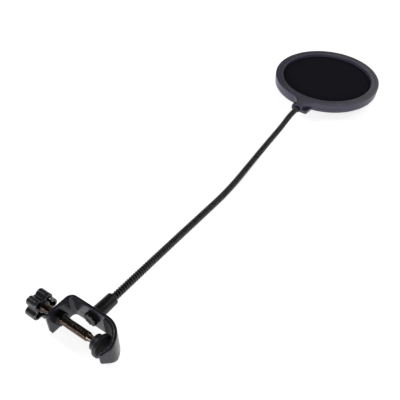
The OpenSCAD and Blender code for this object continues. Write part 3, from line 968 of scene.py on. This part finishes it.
def coil_piece(name, line, start, end):
    """The wire and the core of one stretch of the neck."""
    turns = (end - start) / (WIRE_PITCH * MM)
    count = int(round(turns * TURN_STEPS))
    s = np.linspace(start, end, count + 1)
    angle = 2 * math.pi * s / (WIRE_PITCH * MM)
    point, side, up, tangent = line.frames(s)
    out = np.cos(angle)[:, None] * side + np.sin(angle)[:, None] * up
    rows, crests = [], []
    for a in full_turn(WIRE_SIDES):
        crests.append(max(0.0, math.cos(a)) ** 1.5)
        reach = (NECK_R - WIRE_R) + WIRE_R * math.cos(a)
        rows.append(point + out * reach * MM + tangent * WIRE_R * math.sin(a) * MM)
    wire_points, wire_faces = join_rows(np.array(rows).transpose(1, 0, 2))
    stations = np.linspace(start, end, CORE_STATIONS)
    point, side, up, tangent = line.frames(stations)
    rows = []
    for a in full_turn(CORE_SIDES):
        rows.append(point + (math.cos(a) * side + math.sin(a) * up) * CORE_R_MM * MM)
    core_points, core_faces = join_rows(np.array(rows).transpose(1, 0, 2))
    shift = len(wire_points)
    faces = wire_faces + [tuple(i + shift for i in f) for f in core_faces]
    coil = mesh_object(name, np.concatenate([wire_points, core_points]), faces)
    # The stored crest mark, 1 on the wire's outer side and 0 in the gaps and on the core, places the
    # wire's painted highlight and painted shade.
    crest = np.zeros(len(core_points) + shift, np.float32)
    crest[:shift] = np.tile(crests, count + 1)
    store_values(coil, "crest", crest)
    return coil


def build_neck():
    line = Line(spline(neck_line(), 1.5 * MM))
    bends = [line.nearest(joint_at(f"neck_bend_{k:02d}")) for k in range(1, BENDS + 1)]
    cuts = [0.0] + [(a + b) / 2 for a, b in zip(bends, bends[1:])] + [line.length]
    for k in range(BENDS):
        piece = coil_piece(f"neck_coil_{k + 1:02d}", line, cuts[k], cuts[k + 1])
        store_rest(piece)
        piece.data.materials.append(COIL_WIRE)
        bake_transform(piece)
        if k == 0:
            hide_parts("neck_link_00", "neck_link_01")
        else:
            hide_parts(f"neck_link_{k + 1:02d}")


build_neck()


# ---- head: ferrule, ring halves, screens

RING_R, OPENING_R, RING_T, FRONT_T = 77.5, 66.2, 13.0, 7.4
RING_WALL, FACE_STEP, RING_EDGE = 2.0, 0.5, 0.8
FRONT_Z = RING_T / 2
SEAM_Z = FRONT_Z - FRONT_T
SCREEN_TOP = 2.0
SCREEN_R, SCREEN_T, SCREEN_GAP, SCREEN_SLACK = 70.5, 0.4, 3.2, 0.22
TAB_REACH, TAB_HALF, TAB_FILLET, TAB_ROUND, TAB_ASIDE = 94.0, 5.4, 18.0, 1.0, 1.0
LUG_REACH, LUG_BASE, LUG_HALF, LUG_ROUND, LUG_ASIDE = 91.0, 13.5, 12.5, 3.0, 1.5
FERRULE_R = 5.0
BOSS_REACH = 96.0
REAR_INSET = 0.3
SEAM_BEVEL = 0.45
RING_STEPS = 150
FACE_LIP, FACE_T, BACK_T, REAR_EDGE = 4.0, 2.4, 2.0, 1.2


def ring_outline(side_line, ring_r):
    """A whole outline: the tab or lug from its end up its right side, round the ring, down its left.

    side_line gives one side of the tab or lug, with side 1 for the right one and -1 for the left.
    """
    right, left = side_line(1), side_line(-1)
    start, end = (math.degrees(math.atan2(y, x)) % 360 for x, y in (right[-1], left[-1]))
    sweep = [(ring_r * math.cos(a), ring_r * math.sin(a))
             for a in np.radians(np.linspace(start - 360, end, RING_STEPS))]
    return np.array(right[:-1] + sweep + left[-2:0:-1])


def refine(line, longest):
    out = [line[0]]
    for a, b in zip(line, line[1:]):
        a, b = np.array(a), np.array(b)
        n = max(1, math.ceil(np.linalg.norm(b - a) / longest))
        out += [tuple(a + (b - a) * k / n) for k in range(1, n + 1)]
    return out


def outline_normals(outline):
    ahead, behind = np.roll(outline, -1, axis=0), np.roll(outline, 1, axis=0)
    along = ahead - behind
    along /= np.linalg.norm(along, axis=1)[:, None]
    return np.stack([along[:, 1], -along[:, 0]], axis=1)


def tab_side(side):
    """One side of the front tab, from the middle of its end to where its fillet meets the ring."""
    centre = np.array((TAB_ASIDE * side + TAB_HALF + TAB_FILLET, 0.0))
    centre[1] = -math.sqrt((RING_R + TAB_FILLET) ** 2 - centre[0] ** 2)
    meet = math.degrees(math.atan2(-centre[1], -centre[0]))
    middle = TAB_ASIDE * side
    corner = arc(middle + TAB_HALF - TAB_ROUND, TAB_ROUND - TAB_REACH, TAB_ROUND, -90, 0, 5)
    end = refine([(middle, -TAB_REACH), corner[0]], 1.5)
    line = end + corner[1:] + arc(centre[0], centre[1], TAB_FILLET, 180, meet, 22)
    return [(side * x, y) for x, y in line]


def lug_side(side, ring_r):
    """One side of the rear lug, from the middle of its end to the ring."""
    middle = LUG_ASIDE * side
    corner = arc(middle + LUG_HALF - LUG_ROUND, LUG_ROUND - LUG_REACH, LUG_ROUND, -90, 0, 8)
    base = (middle + LUG_BASE, -RING_R * 0.95)
    tip = corner[-1]
    share = np.linspace(0, 1, 400)
    flank = [(tip[0] + (base[0] - tip[0]) * s, tip[1] + (base[1] - tip[1]) * s) for s in share]
    flank = [p for p in flank if math.hypot(*p) >= ring_r]
    flank = flank[::8] + [flank[-1]]
    line = refine([(middle, -LUG_REACH), corner[0]], 1.5) + corner[1:] + flank[1:]
    return [(side * x, y) for x, y in line]


def neck_end_frame():
    """Where the neck ends under the ring, with z towards the ring's middle."""
    return frame_of((HEAD @ (0, -BOSS_REACH * MM, 0, 1))[:3], HEAD[:3, 1], HEAD[:3, 0])


def ring_half(name, outline, inner_line, ring_edge_line, plate_z, wall_z, back_line, edge):
    """One half of the ring, as one closed shell.

    inner_line and ring_edge_line are (radius, z) points from the opening out to the ring's edge, plate_z
    is the height of the tab's face, and wall_z and back_line take the wall down to the seam and back in.
    """
    normals = outline_normals(outline)
    far = np.linalg.norm(outline, axis=1)
    unit_out = outline / far[:, None]
    up = 1 if plate_z > wall_z else -1
    edge_r = ring_edge_line[-1][0]
    rows = []
    for r, z in inner_line + ring_edge_line:
        rows.append(np.column_stack([unit_out * r, np.full(len(outline), z)]))
    for a in np.radians(np.linspace(0, 90, 6)):
        spot = outline - normals * edge * (1 - math.sin(a))
        reach = np.linalg.norm(spot, axis=1)
        spot = spot * (np.maximum(reach, edge_r) / reach)[:, None]
        drop = plate_z - up * edge * (1 - math.cos(a))
        rows.append(np.column_stack([spot, np.full(len(outline), drop)]))
    for inset, z in ((0, wall_z + up * SEAM_BEVEL), (SEAM_BEVEL, wall_z)):
        rows.append(np.column_stack([outline - normals * inset, np.full(len(outline), z)]))
    for r, z in back_line:
        rows.append(np.column_stack([unit_out * r, np.full(len(outline), z)]))
    points, faces = join_rows(np.array(rows) * MM, closed_columns=True)
    half = mesh_object(name, points, faces, HEAD)
    boolean(half, rod(name + "_seat", neck_end_frame(), -8, FERRULE_LEN + 0.05, FERRULE_R + 0.05, 72))
    return half


def build_rings():
    lip, rim = OPENING_R + RING_WALL, RING_R - RING_WALL
    face = rounded([(OPENING_R, SCREEN_TOP), (OPENING_R, FRONT_Z), (OPENING_R + FACE_LIP, FRONT_Z),
                    (OPENING_R + FACE_LIP + FACE_STEP, FRONT_Z - FACE_STEP),
                    (RING_R - FACE_LIP - FACE_STEP, FRONT_Z - FACE_STEP), (RING_R - FACE_LIP, FRONT_Z),
                    (RING_R - RING_EDGE, FRONT_Z)], [RING_EDGE, 0.25, 0.25, 0.25, 0.25], 4)
    bead = arc(RING_R - RING_EDGE, FRONT_Z - RING_EDGE, RING_EDGE, 90, 22, 4)
    roof = FRONT_Z - FACE_T
    front = ring_half("ring_front", ring_outline(tab_side, RING_R), face[:-1], bead,
                      FRONT_Z - FACE_STEP, SEAM_Z,
                      [(rim, SEAM_Z), (rim, roof), (lip, roof), (lip, SCREEN_TOP)], RING_EDGE)
    finish_piece(front, "head", "front_ring", RING_PLASTIC, HEAD, 0.8)
    rear_r = RING_R - REAR_INSET
    back = rounded([(OPENING_R, -SCREEN_TOP), (OPENING_R, -FRONT_Z), (rear_r - REAR_EDGE, -FRONT_Z)],
                   [RING_EDGE], 4)
    bottom = BACK_T - FRONT_Z
    rear = ring_half("ring_rear", ring_outline(lambda side: lug_side(side, rear_r), rear_r), back[:-1],
                     [(rear_r - REAR_EDGE, -FRONT_Z)], -FRONT_Z, SEAM_Z,
                     [(rim, SEAM_Z), (rim, bottom), (lip, bottom), (lip, -SCREEN_TOP)], REAR_EDGE)
    finish_piece(rear, "head", "rear_ring", RING_PLASTIC, HEAD, 0.8)


def build_ferrule():
    bore = NECK_R + 0.05
    line = rounded([(FERRULE_BORE, bore), (0, bore), (0, FERRULE_R), (FERRULE_LEN, FERRULE_R),
                    (FERRULE_LEN, 0.05), (FERRULE_BORE, 0.05)], [0.2, 0.6, 0.4, 0], 4)
    ferrule = lathe("ferrule", line, neck_end_frame(), 64, closed=True)
    finish_piece(ferrule, "head", "neck_ferrule", FERRULE_STEEL, edge_mm=0.6)


def build_screen(name, node, middle_z):
    """A stretched round of woven nylon, two faces and a rolled rim, with a little slack in its middle."""
    radii = [0.02] + list(np.linspace(2, SCREEN_R - 0.6, 34)) + [SCREEN_R]
    angles = full_turn(120)
    side = 1 if middle_z > 0 else -1

    def face(up):
        rows = []
        for r in radii:
            free = max(0.0, 1 - (r / OPENING_R) ** 2)
            row = []
            for a in angles:
                slack = SCREEN_SLACK * free * (1 + 0.35 * math.sin(3 * a + 1.1) + 0.2 * math.sin(5 * a))
                thick = SCREEN_T / 2 if r < SCREEN_R else SCREEN_T / 4
                row.append((r * math.cos(a), r * math.sin(a), middle_z - side * slack + up * thick))
            rows.append(row)
        return rows

    rows = face(1) + face(-1)[::-1]
    points, faces = join_rows(np.array(rows) * MM)
    screen = mesh_object(name, points, faces, HEAD)
    finish_piece(screen, "head", node, SCREEN_WEAVE, HEAD)


build_rings()
build_ferrule()
build_screen("screen_front", "front_screen", SCREEN_GAP / 2 + SCREEN_T / 2)
build_screen("screen_rear", "rear_screen", -SCREEN_GAP / 2 - SCREEN_T / 2)


# ---- CAD nodes that stay, with their materials

def dress_cad(node, material):
    obj = frame["nodes"][node]
    obj.data.materials.clear()
    obj.data.materials.append(material)


KEPT_STEEL = steel_material("kept_steel", (0.14, 0.13, 0.115), (0.07, 0.065, 0.06), 0.34, (1, 1, 1))
dress_cad("spring_washer", KEPT_STEEL)
dress_cad("pad_clip", KEPT_STEEL)
dress_cad("spacer_ring", RING_PLASTIC)


# ---- floor, light and camera

# The floor is a white light table, so that shadows stay faint
FLOOR_GLOW = 0.75


def build_floor():
    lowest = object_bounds()[0].z
    mesh = bpy.data.meshes.new("floor")
    size = 6.0
    mesh.from_pydata([(-size, -size, lowest), (size, -size, lowest), (size, size, lowest),
                      (-size, size, lowest)], [], [(0, 1, 2, 3)])
    floor = add_object("floor", mesh)
    mat = bpy.data.materials.new("floor_white")
    mat.use_nodes = True
    shader = mat.node_tree.nodes["Principled BSDF"]
    shader.inputs["Base Color"].default_value = (0.93, 0.93, 0.93, 1)
    shader.inputs["Roughness"].default_value = 0.9
    shader.inputs["Specular IOR Level"].default_value = 0.1
    shader.inputs["Emission Color"].default_value = (1, 1, 1, 1)
    shader.inputs["Emission Strength"].default_value = FLOOR_GLOW
    mesh.materials.append(mat)


def softbox(name, place, target, size, watts):
    light = bpy.data.lights.new(name, "AREA")
    light.shape, light.size, light.size_y = "RECTANGLE", size[0], size[1]
    light.energy = watts
    lamp = add_object(name, light)
    lamp.location = place
    lamp.rotation_mode = "QUATERNION"
    lamp.rotation_quaternion = (Vector(target) - Vector(place)).to_track_quat("-Z", "Y")


# The room is pale low down and dim overhead, so that top faces stay dark
WALL_GLOW, CEILING_GLOW = 0.7, 0.07


def build_light():
    world = bpy.data.worlds.new("studio")
    world.use_nodes = True
    tree = world.node_tree
    tree.nodes["Background"].inputs["Color"].default_value = (1, 1, 1, 1)
    height = tree.nodes.new("ShaderNodeSeparateXYZ")
    tree.links.new(tree.nodes.new("ShaderNodeTexCoord").outputs["Generated"], height.inputs[0])
    tree.links.new(spread(tree, height.outputs["Z"], 0.04, 0.4, WALL_GLOW, CEILING_GLOW),
              tree.nodes["Background"].inputs["Strength"])
    bpy.context.scene.world = world
    middle = (-0.05, 0.25, 0.0)
    softbox("overhead", (0.5, 1.7, 1.5), middle, (2.4, 1.2), 11)
    softbox("left_strip", (-1.2, 0.0, 0.45), middle, (0.25, 1.2), 7)
    softbox("front_low", (0.35, -1.3, 0.22), middle, (1.3, 0.22), 14)


def build_camera():
    camera = bpy.data.cameras.new("camera")
    camera.lens = CAMERA_LENS
    camera.clip_start, camera.clip_end = 0.01, 50
    holder = add_object("camera", camera)
    a, e = math.radians(CAMERA_AZIMUTH), math.radians(CAMERA_ELEVATION)
    back = Vector((math.sin(a) * math.cos(e), -math.cos(a) * math.cos(e), math.sin(e)))
    holder.location = CAMERA_TARGET + back * CAMERA_DISTANCE
    holder.rotation_mode = "QUATERNION"
    holder.rotation_quaternion = (-back).to_track_quat("-Z", "Y")
    bpy.context.scene.camera = holder


build_floor()
build_light()
build_camera()
bpy.context.scene.view_settings.view_transform = "Standard"
